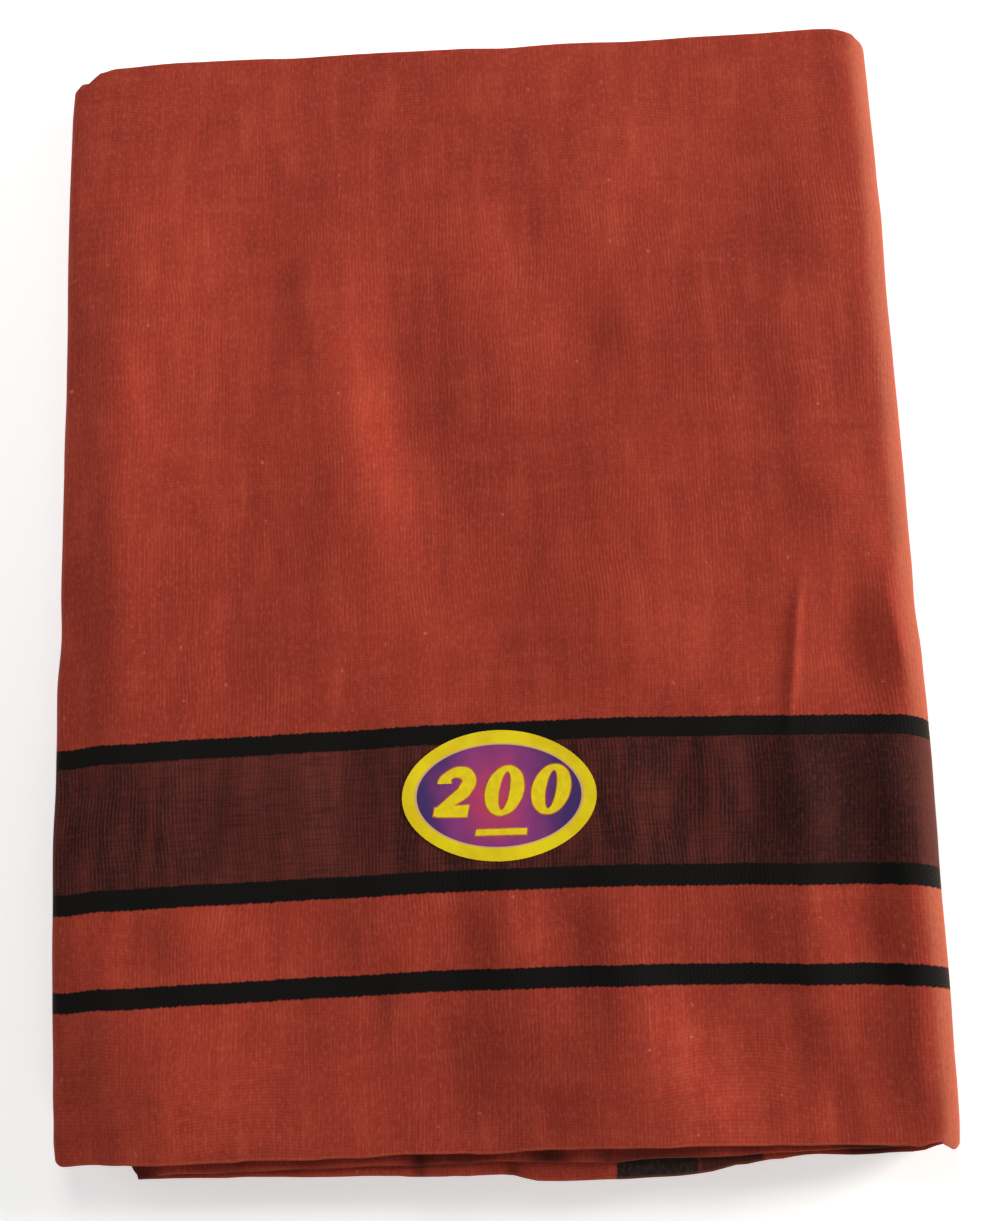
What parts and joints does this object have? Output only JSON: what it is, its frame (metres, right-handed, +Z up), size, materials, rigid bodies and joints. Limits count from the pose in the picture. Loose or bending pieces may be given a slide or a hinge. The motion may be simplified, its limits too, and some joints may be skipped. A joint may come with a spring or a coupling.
{
  "type": "folded lungi",
  "caption": "Cotton lungi folded into a flat rectangular packet, striped woven border along its near edge, round fold at the right, oval size label on the border.",
  "frame": {"origin": "under the middle of the packet, on the surface that it lies on", "axes": "+X to the right across the folded strips, +Y from the border edge to the far fold, +Z up"},
  "size_m": [0.2544, 0.3382, 0.0156],
  "materials": {
    "cloth": "plain woven cotton, rust saffron with black and maroon border stripes",
    "cloth_leaves": "plain woven cotton, rust saffron, pale selvedge",
    "cloth_folds": "plain woven cotton, rust saffron, folded edges",
    "label": "printed self-adhesive film, satin"
  },
  "bodies": {
    "root": {"outer_wrap": "cloth", "inner_strip": "cloth_leaves", "inner_folds": "cloth_folds", "size_label": "label"}
  },
  "joints": []
}
